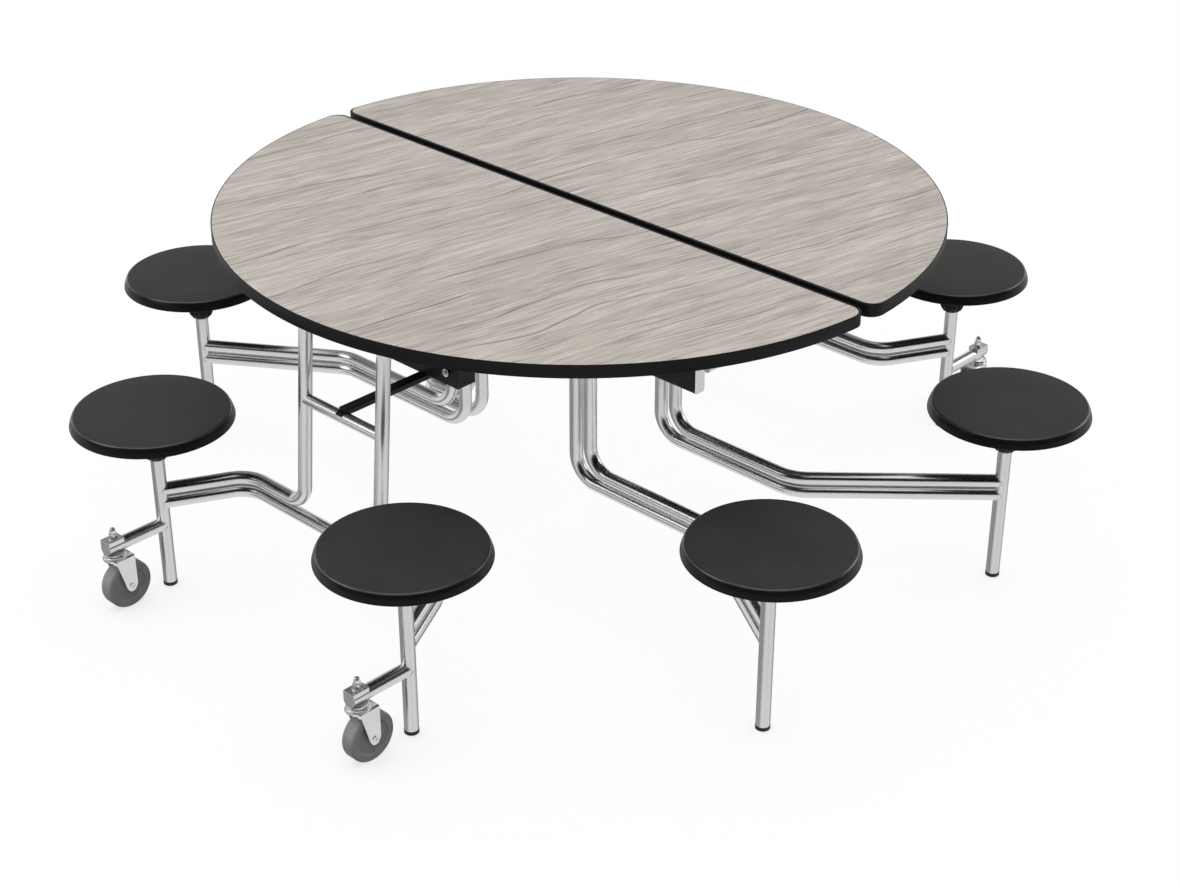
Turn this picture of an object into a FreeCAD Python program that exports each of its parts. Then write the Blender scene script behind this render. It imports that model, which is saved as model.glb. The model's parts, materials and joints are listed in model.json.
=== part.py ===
"""Folding round table on a chrome tube frame with eight swivel stools and four casters.

The origin is on the floor under the middle of the table.  +Z is up.  The gap between the two
half tops runs along Y.  The near half is at -X and the far half at +X.  Stools are numbered
1 to 4 round the near half, from +Y to -Y, and 5 to 8 back round the far half.
"""
import FreeCAD, Part
import math
import os
import Sketcher
from FreeCAD import Placement, Rotation, Vector

DRIVING = {
    # table top
    "top_z": 722, "top_r": 762, "top_thick": 27, "laminate_thick": 1, "band_wide": 5,
    "half_gap": 6, "corner_r": 30,
    # stools
    "stool_ring_r": 930, "stool_angle": 24, "seat_z": 413, "seat_r": 166, "seat_top_r": 155,
    "seat_thick": 22, "seat_dish": 16, "seat_hub_r": 45, "seat_hub_gap": 18.7, "seat_hub_slope": 15,
    "seat_skirt_wide": 16, "seat_lip_wide": 6, "seat_lip_tall": 4,
    "spindle_r": 9, "spindle_low_z": 280, "spindle_gap": 0.05,
    "socket_low_z": 270, "socket_z": 302, "socket_mid_z": 322, "socket_top_z": 394,
    "socket_low_r": 20, "socket_mid_r": 28, "socket_top_r": 30.5, "plug_play": 0.1,
    # tubes
    "tube_r": 14.3, "tube_wall": 1.9, "cross_r": 12.7, "arm_z": 213, "arm_pitch": 30,
    "arm_bend_r": 90, "link_bend_r": 70, "link_corner_y": 290,
    # glides
    "glide_tall": 6, "glide_flat_r": 10, "glide_plug_z": 24,
    # leg frames
    "leg_foot_x": 684, "leg_head_x": 650, "leg_y": 115, "leg_foot_bend_r": 42, "leg_head_z": 634,
    "leg_head_bend_r": 60, "crossbar_z": 465,
    # hinges
    "pivot_z": 666, "pivot_r": 11, "pivot_play": 0.05, "outer_hinge_x": 640, "outer_pivot_half": 129,
    "inner_hinge_x": 180, "saddle_r": 16, "saddle_wide": 30, "saddle_plate_long": 60,
    "saddle_plate_wide": 40, "saddle_plate_thick": 3, "saddle_neck": 12, "outer_saddle_y": 50,
    "inner_saddle_first_y": -75, "inner_saddle_pitch": 100,
    # support bracket and strut under each half
    "bracket_x": 455, "bracket_deep": 48, "bracket_half": 105, "bracket_z": 484,
    "bracket_wall": 3, "bracket_rest_gap": 0.3, "strut_wide": 24, "strut_tall": 12,
    "bolt_r": 5.5, "bolt_head": 4, "bolt_y": 75, "bolt_up": 29,
    # outriggers and casters
    "outrigger_z": 147, "outrigger_long": 144, "stem_out": 125, "stem_r": 6, "stem_play": 0.05,
    "end_plug_thick": 3, "end_plug_r": 13.8, "wheel_r": 52, "wheel_wide": 32, "wheel_rim_r": 36,
    "wheel_dish": 4, "wheel_boss_r": 11, "wheel_bevel": 2, "tread_edge_wide": 4, "tread_edge_tall": 3,
    "axle_r": 4, "axle_play": 0.05, "axle_head_r": 7, "axle_head": 3, "trail": 18,
    "fork_gap": 3, "fork_wall": 3, "fork_top_z": 123, "fork_roof": 4, "fork_round_r": 26,
    "fork_lip": 6, "fork_shoulder": 12, "fork_shoulder_drop": 10, "fork_toe": 12, "fork_toe_drop": 2,
    "fork_tip": 6, "fork_tip_drop": 12.5, "fork_heel": 14,
    "race_r": 24, "race_z": 131, "race_gap": 0.3, "washer_r": 22,
    "clamp_long": 40, "clamp_wide": 28, "clamp_z": 156, "clamp_top_z": 165,
    "nut_r": 8.5, "nut_z": 190,
    # inner arms
    "front_near_arm_x": -178, "front_far_arm_x": 86, "rear_near_arm_x": -184, "rear_far_arm_x": -134,
    "front_rise_y": 182, "rear_rise_y": 190, "rise_pitch": 40, "rise_bend_r": 58, "rise_top_z": 651.5,
    "front_corner_y": 530, "rear_near_corner_y": 560, "rear_far_corner_y": 338,
    # channels that carry the inner hinges
    "channel_half": 205, "channel_wide": 80, "channel_z": 628, "channel_top_z": 655,
    "channel_wall": 3, "hinge_tube_front": 232, "hinge_tube_rear": 240,
    # spine and release handle
    "spine_half_wide": 14, "spine_half_long": 343, "spine_z": 393, "spine_tall": 104,
    "spine_wall": 3, "spine_cap": 2, "handle_z": 484, "handle_stem_r": 5, "handle_stem_long": 70,
    "handle_grip_r": 8, "handle_grip_long": 90, "handle_reach": 57,
}

doc = FreeCAD.newDocument("folding_stool_table")
dims = doc.addObject("Spreadsheet::Sheet", "dims")
for row, (alias, value) in enumerate(DRIVING.items(), start=1):
    dims.set(f"A{row}", alias)
    dims.set(f"B{row}", str(value))
    dims.setAlias(f"B{row}", alias)
doc.recompute()

nodes = {}


def size(expression):
    """Number that a sheet expression stands for."""
    return float(dims.evalExpression(expression))


def ref(expression):
    """Sheet expression with each alias written as dims.alias."""
    words = []
    for word in expression.split():
        bare = word.strip("()")
        words.append(word.replace(bare, "dims." + bare) if bare in DRIVING else word)
    return " ".join(words)


def bind(item, **expressions):
    for prop, expression in expressions.items():
        item.setExpression(prop, ref(expression))


def node(label, item):
    item.Label = label
    nodes[label] = item
    return item


# ---- primitives and booleans ----

def cylinder(radius, height, start, direction=Vector(0, 0, 1)):
    item = doc.addObject("Part::Cylinder", "cylinder")
    bind(item, Radius=radius, Height=height)
    item.Placement = Placement(Vector(*start), Rotation(Vector(0, 0, 1), direction))
    return item


def box(low, length, width, height):
    item = doc.addObject("Part::Box", "box")
    bind(item, Length=length, Width=width, Height=height)
    item.Placement.Base = Vector(*low)
    return item


def box_side(side, near_x, y, z, length, width, height):
    """Box whose inner face is at near_x along the given side of the table."""
    low_x = near_x if side > 0 else -near_x - size(length)
    return box((low_x, y, z), length, width, height)


def cut(base, *tools):
    for tool in tools:
        item = doc.addObject("Part::Cut", "cut")
        item.Base = base
        item.Tool = tool
        base = item
    return base


def fuse(*parts):
    item = doc.addObject("Part::MultiFuse", "fuse")
    item.Shapes = list(parts)
    return item


def group(parts):
    item = doc.addObject("Part::Compound", "group")
    item.Links = list(parts)
    return item


def straight_tube(radius, length, start, direction):
    bore = cylinder(radius + " - tube_wall", length, start, direction)
    return cut(cylinder(radius, length, start, direction), bore)


def rounded_wire(points, bends):
    """Straight runs through the points, joined by tangent arcs of the given radii."""
    edges = []
    last = points[0]
    for corner, before, after, radius in zip(points[1:-1], points, points[2:], bends):
        into = (corner - before).normalize()
        out = (after - corner).normalize()
        turn = into.getAngle(out)
        back = radius * math.tan(turn / 2)
        first = corner - into * back
        end = corner + out * back
        inward = (out - into).normalize()
        centre = corner + inward * (radius / math.cos(turn / 2))
        edges.append(Part.LineSegment(last, first).toShape())
        edges.append(Part.Arc(first, centre - inward * radius, end).toShape())
        last = end
    edges.append(Part.LineSegment(last, points[-1]).toShape())
    return Part.Wire(edges)


def bent_tube(points, bends):
    """Round tube along a path of runs and arcs, with its bore along the same path."""
    path = doc.addObject("Part::Feature", "path")
    path.Shape = rounded_wire(points, bends)
    edges = [f"Edge{number + 1}" for number in range(len(path.Shape.Edges))]
    walls = []
    for radius in ("tube_r", "tube_r - tube_wall"):
        section = doc.addObject("Part::Circle", "section")
        bind(section, Radius=radius)
        section.Placement = Placement(points[0], Rotation(Vector(0, 0, 1), points[1] - points[0]))
        sweep = doc.addObject("Part::Sweep", "sweep")
        sweep.Sections = [section]
        sweep.Spine = (path, edges)
        sweep.Solid = True
        walls.append(sweep)
    return cut(*walls)


# ---- sketched bodies ----

def plane(body, role):
    return next(item for item in body.Origin.OriginFeatures if item.Role == role)


def polygon(body, role, corners):
    """Closed outline with every corner placed from the sketch origin by the sheet."""
    sketch = body.newObject("Sketcher::SketchObject", body.Name + "_outline")
    sketch.AttachmentSupport = [(plane(body, role), "")]
    sketch.MapMode = "FlatFace"
    places = [Vector(size(x), size(y), 0) for x, y in corners]
    for here, there in zip(places, places[1:] + places[:1]):
        sketch.addGeometry(Part.LineSegment(here, there))
    count = len(corners)
    for number in range(count):
        sketch.addConstraint(Sketcher.Constraint("Coincident", number, 2, (number + 1) % count, 1))
    for number, (corner, place) in enumerate(zip(corners, places)):
        for kind, axis, expression, value in (("DistanceX", -2, corner[0], place.x),
                                              ("DistanceY", -1, corner[1], place.y)):
            if value == 0:
                sketch.addConstraint(Sketcher.Constraint("PointOnObject", number, 1, axis))
                continue
            index = sketch.addConstraint(Sketcher.Constraint(kind, -1, 1, number, 1, value))
            sketch.renameConstraint(index, f"{kind[-1].lower()}_{number}")
            sketch.setExpression(f"Constraints.{kind[-1].lower()}_{number}", ref(expression))
    return sketch


def revolved(name, corners, place=Placement(), profile_plane="XZ_Plane", axis="V_Axis"):
    body = doc.addObject("PartDesign::Body", name)
    outline = polygon(body, profile_plane, corners)
    turn = body.newObject("PartDesign::Revolution", name + "_turn")
    turn.Profile = outline
    turn.ReferenceAxis = (outline, [axis])
    turn.Angle = 360
    body.Placement = place
    return body


def padded(name, corners, depth, place=Placement()):
    """Body padded both ways from its XZ plane."""
    body = doc.addObject("PartDesign::Body", name)
    outline = polygon(body, "XZ_Plane", corners)
    pad = body.newObject("PartDesign::Pad", name + "_pad")
    pad.Profile = outline
    pad.SideType = "Symmetric"
    bind(pad, Length=depth)
    body.Placement = place
    return body


# ---- places that several pieces share ----

stool_x = size("stool_ring_r") * math.cos(math.radians(size("stool_angle")))
stool_y = size("stool_ring_r") * math.sin(math.radians(size("stool_angle")))
STOOLS = {
    1: (-stool_y, stool_x), 2: (-stool_x, stool_y), 3: (-stool_x, -stool_y), 4: (-stool_y, -stool_x),
    5: (stool_y, -stool_x), 6: (stool_x, -stool_y), 7: (stool_x, stool_y), 8: (stool_y, stool_x),
}
FRAMES = {"near": (2, 3), "far": (7, 6), "centre": (1, 4, 5, 8)}
SIDES = {"near": -1, "far": 1}
UPPER_Z = size("arm_z + arm_pitch / 2")
LOWER_Z = size("arm_z - arm_pitch / 2")
# the crossbar sits on the line of the leaning legs
LEG_SHARE = "( crossbar_z - arm_z - arm_pitch / 2 ) / ( leg_head_z - arm_z - arm_pitch / 2 )"
CROSSBAR_X = f"leg_foot_x - ( leg_foot_x - leg_head_x ) * {LEG_SHARE}"


def post_solid(number):
    x, y = STOOLS[number]
    return cylinder("tube_r", "top_z", (x, y, 0))


# ---- stools ----

def make_seat(number):
    """Dished seat in one piece with the spindle that it turns on."""
    corners = [
        ("0", "spindle_low_z"), ("spindle_r", "spindle_low_z"), ("spindle_r", "seat_z - seat_hub_gap"),
        ("seat_hub_r", "seat_z - seat_hub_gap"), ("seat_hub_r + seat_hub_slope", "seat_z - seat_dish"),
        ("seat_r - seat_skirt_wide", "seat_z - seat_dish"),
        ("seat_r - seat_lip_wide", "seat_z - seat_thick"), ("seat_r", "seat_z - seat_thick"),
        ("seat_r", "seat_z - seat_thick + seat_lip_tall"),
        ("seat_top_r + seat_lip_wide", "seat_z - seat_lip_tall"), ("seat_top_r", "seat_z"),
        ("0", "seat_z"),
    ]
    x, y = STOOLS[number]
    node(f"seat_{number}", revolved(f"seat_{number}", corners, Placement(Vector(x, y, 0), Rotation())))


def make_posts(frame):
    """Post, collar and foot glide under each stool of a frame."""
    posts = []
    sockets = []
    glides = []
    for number in FRAMES[frame]:
        x, y = STOOLS[number]
        place = Placement(Vector(x, y, 0), Rotation())
        posts.append(straight_tube("tube_r", "socket_z - glide_tall", (x, y, size("glide_tall")),
                                   Vector(0, 0, 1)))
        sockets.append(revolved("socket", [
            ("spindle_r + spindle_gap", "socket_low_z"), ("tube_r - tube_wall - plug_play", "socket_low_z"),
            ("tube_r - tube_wall - plug_play", "socket_z"), ("socket_low_r", "socket_z"),
            ("socket_mid_r", "socket_mid_z"), ("socket_top_r", "socket_top_z"), ("spindle_r + spindle_gap", "socket_top_z")], place))
        glides.append(revolved("glide", [
            ("0", "0"), ("glide_flat_r", "0"), ("tube_r", "glide_tall / 2"), ("tube_r", "glide_tall"),
            ("tube_r - tube_wall - plug_play", "glide_tall"),
            ("tube_r - tube_wall - plug_play", "glide_plug_z"), ("0", "glide_plug_z")], place))
    node(f"{frame}_stool_posts", group(posts))
    node(f"{frame}_seat_sockets", group(sockets))
    node(f"{frame}_foot_glides", group(glides))


# ---- leg frames ----

def make_leg_frame(frame):
    side = SIDES[frame]
    foot_x = side * size("leg_foot_x")
    head_x = side * size("leg_head_x")
    bar_x = side * size(CROSSBAR_X)
    leg_y = size("leg_y")
    corner_y = size("link_corner_y")
    post_x = side * stool_x
    pivot = Vector(side * size("outer_hinge_x"), 0, size("pivot_z"))
    posts = [post_solid(number) for number in FRAMES[frame]]
    pivot_core = cylinder("pivot_r", "2 * outer_pivot_half", (pivot.x, -size("outer_pivot_half"), pivot.z),
                          Vector(0, 1, 0))
    legs = []
    for back, post in zip((1, -1), posts):
        points = [
            Vector(post_x, back * stool_y, UPPER_Z), Vector(foot_x, back * corner_y, UPPER_Z),
            Vector(foot_x, back * leg_y, UPPER_Z), Vector(head_x, back * leg_y, size("leg_head_z")),
            Vector(pivot.x, back * leg_y, pivot.z),
        ]
        bends = [size("link_bend_r"), size("leg_foot_bend_r"), size("leg_head_bend_r")]
        legs.append(cut(bent_tube(points, bends), post, pivot_core))
    node(f"{frame}_leg_tubes", group(legs))

    link = bent_tube([Vector(post_x, stool_y, LOWER_Z), Vector(foot_x, corner_y, LOWER_Z),
                      Vector(foot_x, -corner_y, LOWER_Z), Vector(post_x, -stool_y, LOWER_Z)],
                     [size("link_bend_r")] * 2)
    node(f"{frame}_link_tube", cut(link, *posts))

    lean = Vector(head_x - foot_x, 0, size("leg_head_z") - UPPER_Z)
    leg_cores = [cylinder("tube_r", "pivot_z", (foot_x, back * leg_y, UPPER_Z), lean) for back in (1, -1)]
    crossbar = straight_tube("cross_r", "2 * leg_y", (bar_x, -leg_y, size("crossbar_z")), Vector(0, 1, 0))
    node(f"{frame}_crossbar", cut(crossbar, *leg_cores))
    node(f"{frame}_leg_hinge_tube", straight_tube(
        "pivot_r", "2 * outer_pivot_half", (pivot.x, -size("outer_pivot_half"), pivot.z), Vector(0, 1, 0)))
    make_support(frame, bar_x)
    make_outriggers(frame, posts)


def make_support(frame, bar_x):
    """Black strut from the crossbar, and the folded bracket on it that the open half rests on."""
    side = SIDES[frame]
    low = size("bracket_z")
    inner_x = size("bracket_x - bracket_deep")
    strut = box_side(side, inner_x, -size("strut_wide / 2"), low - size("strut_tall"),
                     f"{CROSSBAR_X} - bracket_x + bracket_deep", "strut_wide", "strut_tall")
    bar = cylinder("cross_r", "2 * leg_y", (bar_x, -size("leg_y"), size("crossbar_z")), Vector(0, 1, 0))
    node(f"{frame}_support_strut", cut(strut, bar))

    height = "top_z - top_thick - bracket_rest_gap - bracket_z"
    wall = size("bracket_wall")
    shell = box_side(side, inner_x, -size("bracket_half"), low, "bracket_deep", "2 * bracket_half", height)
    hollow = box_side(side, inner_x, wall - size("bracket_half"), low + wall,
                      "bracket_deep - bracket_wall", "2 * bracket_half - 2 * bracket_wall",
                      height + " - 2 * bracket_wall")
    bolts = [cylinder("bolt_r", "bolt_head", (side * size("bracket_x"), y, low + size("bolt_up")),
                      Vector(side, 0, 0)) for y in (-size("bolt_y"), size("bolt_y"))]
    node(f"{frame}_support_bracket", group([cut(shell, hollow)] + bolts))


def make_outriggers(frame, posts):
    side = SIDES[frame]
    outward = Vector(side, 0, 0)
    level = size("outrigger_z")
    tubes = []
    mounts = []
    for number, post in zip(FRAMES[frame], posts):
        x, y = STOOLS[number]
        stem_x = x + side * size("stem_out")
        tube = straight_tube("tube_r", "outrigger_long", (x, y, level), outward)
        hole = cylinder("stem_r", "2 * tube_r", (stem_x, y, level - size("tube_r")))
        tubes.append(cut(tube, post, hole))
        end_x = x + side * size("outrigger_long")
        tubes.append(cylinder("end_plug_r", "end_plug_thick", (end_x, y, level), outward))

        core = cylinder("tube_r", "outrigger_long + end_plug_thick", (x, y, level), outward)
        washer = cylinder("washer_r", "outrigger_z - tube_r - race_z - race_gap",
                          (stem_x, y, size("race_z + race_gap")))
        clamp = box_side(side, stool_x + size("outrigger_long + end_plug_thick - clamp_long"),
                         y - size("clamp_wide / 2"), size("clamp_z"), "clamp_long", "clamp_wide",
                         "clamp_top_z - clamp_z")
        nut = cylinder("nut_r", "nut_z - clamp_top_z", (stem_x, y, size("clamp_top_z")))
        stem = cylinder("stem_r", "clamp_top_z - fork_top_z + fork_roof",
                        (stem_x, y, size("fork_top_z - fork_roof")))
        mounts.append(fuse(cut(clamp, core), washer, nut, stem))
    node(f"{frame}_outriggers", group(tubes))
    node(f"{frame}_caster_stems", group(mounts))


# ---- casters ----

def make_caster(number):
    x, y = STOOLS[number]
    side = 1 if x > 0 else -1
    turn = Rotation(Vector(0, 0, 1), 0 if side < 0 else 180)
    place = Placement(Vector(x + side * size("stem_out"), y, 0), turn)
    fork = padded("fork", [
        ("-1 * fork_round_r", "fork_top_z"), ("-1 * fork_round_r", "fork_top_z - fork_lip"),
        ("-1 * fork_shoulder", "fork_top_z - fork_shoulder_drop"),
        ("trail - fork_toe", "wheel_r - fork_toe_drop"), ("trail - fork_tip", "wheel_r - fork_tip_drop"),
        ("trail + fork_tip", "wheel_r - fork_tip_drop"), ("trail + fork_heel", "wheel_r"),
        ("trail + fork_heel", "fork_top_z")],
        "wheel_wide + 2 * fork_gap + 2 * fork_wall", place)
    slot = fork.newObject("Sketcher::SketchObject", fork.Name + "_slot")
    slot.AttachmentSupport = [(plane(fork, "XZ_Plane"), "")]
    slot.MapMode = "FlatFace"
    edge = 2 * size("wheel_r")
    roof = size("fork_top_z - fork_roof")
    for start, end in (((-edge, 0), (edge, 0)), ((edge, 0), (edge, roof)),
                       ((edge, roof), (-edge, roof)), ((-edge, roof), (-edge, 0))):
        slot.addGeometry(Part.LineSegment(Vector(*start, 0), Vector(*end, 0)))
    pocket = fork.newObject("PartDesign::Pocket", fork.Name + "_pocket")
    pocket.Profile = slot
    pocket.SideType = "Symmetric"
    bind(pocket, Length="wheel_wide + 2 * fork_gap")

    stem_x = place.Base.x
    inner = box_side(side, abs(stem_x) - size("trail + fork_heel"), y - size("fork_round_r"), 0,
                     "trail + fork_heel", "2 * fork_round_r", "fork_top_z")
    rounded_fork = doc.addObject("Part::Common", "rounded_fork")
    rounded_fork.Base = fork
    rounded_fork.Tool = fuse(inner, cylinder("fork_round_r", "fork_top_z", (stem_x, y, 0)))
    race = cylinder("race_r", "race_z - fork_top_z", (stem_x, y, size("fork_top_z")))
    bore = cylinder("stem_r + stem_play", "race_z - fork_top_z + fork_roof",
                    (stem_x, y, size("fork_top_z - fork_roof")))
    axle_x = stem_x - side * size("trail")
    half = size("wheel_wide / 2 + fork_gap + fork_wall")
    shaft = cylinder("axle_r", "wheel_wide + 2 * fork_gap + 2 * fork_wall",
                     (axle_x, y - half, size("wheel_r")), Vector(0, 1, 0))
    heads = [cylinder("axle_head_r", "axle_head", (axle_x, y + back * half, size("wheel_r")),
                      Vector(0, back, 0)) for back in (1, -1)]
    axle = fuse(shaft, *heads)
    body = cut(fuse(rounded_fork, race), bore, shaft)
    node(f"caster_fork_{number}", group([body, axle]))

    corners = [
        ("axle_r + axle_play", "wheel_wide / 2"), ("wheel_boss_r", "wheel_wide / 2"),
        ("wheel_boss_r + wheel_bevel", "wheel_wide / 2 - wheel_dish"),
        ("wheel_rim_r", "wheel_wide / 2 - wheel_dish"), ("wheel_rim_r + wheel_bevel", "wheel_wide / 2"),
        ("wheel_r - tread_edge_wide", "wheel_wide / 2"), ("wheel_r", "wheel_wide / 2 - tread_edge_tall")]
    corners += [(out, f"-1 * ( {along} )") for out, along in reversed(corners)]
    lay_down = Rotation(Vector(1, 0, 0), 90)
    place = Placement(Vector(axle_x, y, size("wheel_r")), lay_down)
    node(f"caster_wheel_{number}", revolved(f"caster_wheel_{number}", corners, place))


# ---- half tops ----

def half_disc(side, inset, low_z, height):
    """Half round plate with rounded corners, inset from the outline all round."""
    radius = f"top_r - {inset}"
    chord = size(f"half_gap + {inset}")
    disc = cylinder(radius, height, (0, 0, low_z))
    reach = size("top_r")
    half = box_side(side, chord, -reach, low_z, "top_r", "2 * top_r", height)
    plate = doc.addObject("Part::Common", "half_disc")
    plate.Base = disc
    plate.Tool = half
    doc.recompute()
    rounded = doc.addObject("Part::Fillet", "half_disc_rounded")
    rounded.Base = plate
    corner = size(f"corner_r - {inset}")
    chosen = []
    for index, edge in enumerate(plate.Shape.Edges, start=1):
        ends = [vertex.Point for vertex in edge.Vertexes]
        upright = len(ends) == 2 and abs(ends[0].z - ends[1].z) > 0.5 * size(height)
        if upright and abs(abs(ends[0].x) - chord) < 0.01:
            chosen.append((index, corner, corner))
    rounded.Edges = chosen
    return rounded


def make_saddles(frame):
    """Clamps screwed under the half top that turn on the two hinge tubes."""
    side = SIDES[frame]
    level = size("pivot_z")
    under = size("top_z - top_thick")
    long = size("saddle_plate_long")
    saddles = []
    outer = [(size("outer_hinge_x"), back * size("outer_saddle_y")) for back in (-1, 1)]
    inner = [(size("inner_hinge_x"), size("inner_saddle_first_y") + step * size("inner_saddle_pitch"))
             for step in range(3)]
    for distance, y in outer + inner:
        x = side * distance
        wide = size("saddle_wide / 2")
        plate = box((x - long / 2, y - size("saddle_plate_wide / 2"), under - size("saddle_plate_thick")),
                    "saddle_plate_long", "saddle_plate_wide", "saddle_plate_thick")
        neck = box((x - size("saddle_neck / 2"), y - wide, level), "saddle_neck", "saddle_wide",
                   "top_z - top_thick - saddle_plate_thick - pivot_z")
        ring = cylinder("saddle_r", "saddle_wide", (x, y - wide, level), Vector(0, 1, 0))
        bore = cylinder("pivot_r + pivot_play", "saddle_wide", (x, y - wide, level), Vector(0, 1, 0))
        saddles.append(cut(fuse(plate, neck, ring), bore))
    node(f"{frame}_hinge_saddles", group(saddles))


def make_top(frame):
    side = SIDES[frame]
    under = size("top_z - top_thick")
    skin = size("top_z - laminate_thick")
    node(f"{frame}_top_core", half_disc(side, "band_wide", under, "top_thick - laminate_thick"))
    node(f"{frame}_top_laminate", half_disc(side, "band_wide", skin, "laminate_thick"))
    rim = cut(half_disc(side, "0", under, "top_thick"), half_disc(side, "band_wide", under, "top_thick"))
    node(f"{frame}_edge_band", rim)
    make_saddles(frame)


# ---- centre frame ----

def make_arm(number, rise_x, rise_y, corner_y):
    """Stacked pair of tubes from a stool post to a rise under the middle of the table."""
    x, y = STOOLS[number]
    back = 1 if y > 0 else -1
    post = post_solid(number)
    tubes = []
    for step in (1, -1):
        level = size("arm_z") + step * size("arm_pitch / 2")
        rise = back * (rise_y + step * size("rise_pitch / 2"))
        points = [Vector(x, y, level), Vector(rise_x, back * corner_y, level),
                  Vector(rise_x, rise, level), Vector(rise_x, rise, size("rise_top_z"))]
        tubes.append(cut(bent_tube(points, [size("arm_bend_r"), size("rise_bend_r")]), post))
    node(f"inner_arm_{number}", group(tubes))


def make_channels():
    channels = []
    for middle in (-size("front_rise_y"), size("rear_rise_y")):
        wall = size("channel_wall")
        low = (-size("channel_half"), middle - size("channel_wide / 2"), size("channel_z"))
        shell = box(low, "2 * channel_half", "channel_wide", "channel_top_z - channel_z")
        hollow = box((low[0], low[1] + wall, low[2]), "2 * channel_half",
                     "channel_wide - 2 * channel_wall", "channel_top_z - channel_z - channel_wall")
        channels.append(cut(shell, hollow))
    node("centre_cross_channels", group(channels))

    start_y = -size("hinge_tube_front")
    tubes = [straight_tube("pivot_r", "hinge_tube_front + hinge_tube_rear",
                           (side * size("inner_hinge_x"), start_y, size("pivot_z")), Vector(0, 1, 0))
             for side in (-1, 1)]
    node("centre_hinge_tubes", group(tubes))


def make_spine():
    half_wide = size("spine_half_wide")
    half_long = size("spine_half_long")
    low = size("spine_z")
    wall = size("spine_wall")
    shell = box((-half_wide, -half_long, low), "2 * spine_half_wide", "2 * spine_half_long", "spine_tall")
    hollow = box((wall - half_wide, -half_long, low + wall), "2 * spine_half_wide - 2 * spine_wall",
                 "2 * spine_half_long", "spine_tall - 2 * spine_wall")
    cap = size("spine_cap")
    front_cap = box((-half_wide, -half_long - cap, low), "2 * spine_half_wide", "spine_cap", "spine_tall")
    rear_cap = box((-half_wide, half_long, low), "2 * spine_half_wide", "spine_cap", "spine_tall")
    stem_hole = cylinder("handle_stem_r + stem_play", "handle_stem_long",
                         (0, -half_long + size("handle_stem_long / 2"), size("handle_z")), Vector(0, -1, 0))
    node("centre_spine", cut(shell, hollow))
    node("centre_spine_caps", group([cut(front_cap, stem_hole), rear_cap]))

    level = low + size("spine_tall / 2")
    front_y = size("rise_pitch / 2 - front_rise_y")
    rear_y = size("rear_rise_y - rise_pitch / 2")
    front_near_x = size("front_near_arm_x")
    front_far_x = size("front_far_arm_x")
    near_x = size("rear_near_arm_x")
    far_x = size("rear_far_arm_x")
    spans = [
        ("-1 * front_near_arm_x - spine_half_wide", front_near_x, front_y, [front_near_x]),
        ("front_far_arm_x - spine_half_wide", half_wide, front_y, [front_far_x]),
        ("rear_far_arm_x - rear_near_arm_x", near_x, rear_y, [near_x, far_x]),
        ("-1 * rear_far_arm_x - spine_half_wide", far_x, rear_y, [far_x]),
    ]
    stubs = []
    for length, x, y, rises in spans:
        stub = straight_tube("cross_r", length, (x, y, level), Vector(1, 0, 0))
        stubs.append(cut(stub, *[cylinder("tube_r", "top_z", (rise_x, y, 0)) for rise_x in rises]))
    node("centre_cross_tubes", group(stubs))


def make_handle():
    tip_y = -size("spine_half_long + handle_reach")
    stem = cylinder("handle_stem_r", "handle_stem_long", (0, tip_y, size("handle_z")), Vector(0, 1, 0))
    grip = cylinder("handle_grip_r", "handle_grip_long",
                    (-size("handle_grip_long / 2"), tip_y, size("handle_z")), Vector(1, 0, 0))
    node("release_handle", fuse(stem, grip))


for number in STOOLS:
    make_seat(number)
for frame in FRAMES:
    make_posts(frame)
for frame in SIDES:
    make_leg_frame(frame)
    make_top(frame)
for number in (2, 3, 6, 7):
    make_caster(number)
make_arm(1, size("rear_near_arm_x"), size("rear_rise_y"), size("rear_near_corner_y"))
make_arm(4, size("front_near_arm_x"), size("front_rise_y"), size("front_corner_y"))
make_arm(5, size("front_far_arm_x"), size("front_rise_y"), size("front_corner_y"))
make_arm(8, size("rear_far_arm_x"), size("rear_rise_y"), size("rear_far_corner_y"))
make_channels()
make_spine()
make_handle()
doc.recompute()

# ---- checks and export ----

for item in doc.Objects:
    if "Invalid" in item.State or "Error" in item.State:
        raise RuntimeError(f"{item.Name} ({item.Label}) failed: {item.State}")
os.makedirs("parts", exist_ok=True)
for label, item in nodes.items():
    shape = item.Shape
    if item.Label != label:
        raise RuntimeError(f"{label} is labelled {item.Label}")
    if shape.isNull() or not shape.isValid() or not shape.Solids:
        raise RuntimeError(f"{label} has no valid solid")
    shape.exportStep(f"parts/{label}.step")
    print(f"{label:26} {len(shape.Solids)} solid(s) {shape.Volume / 1000:9.1f} cm3")
print(len(nodes), "nodes")
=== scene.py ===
import json
import math

import bmesh
import bpy
from mathutils import Matrix, Vector


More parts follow.
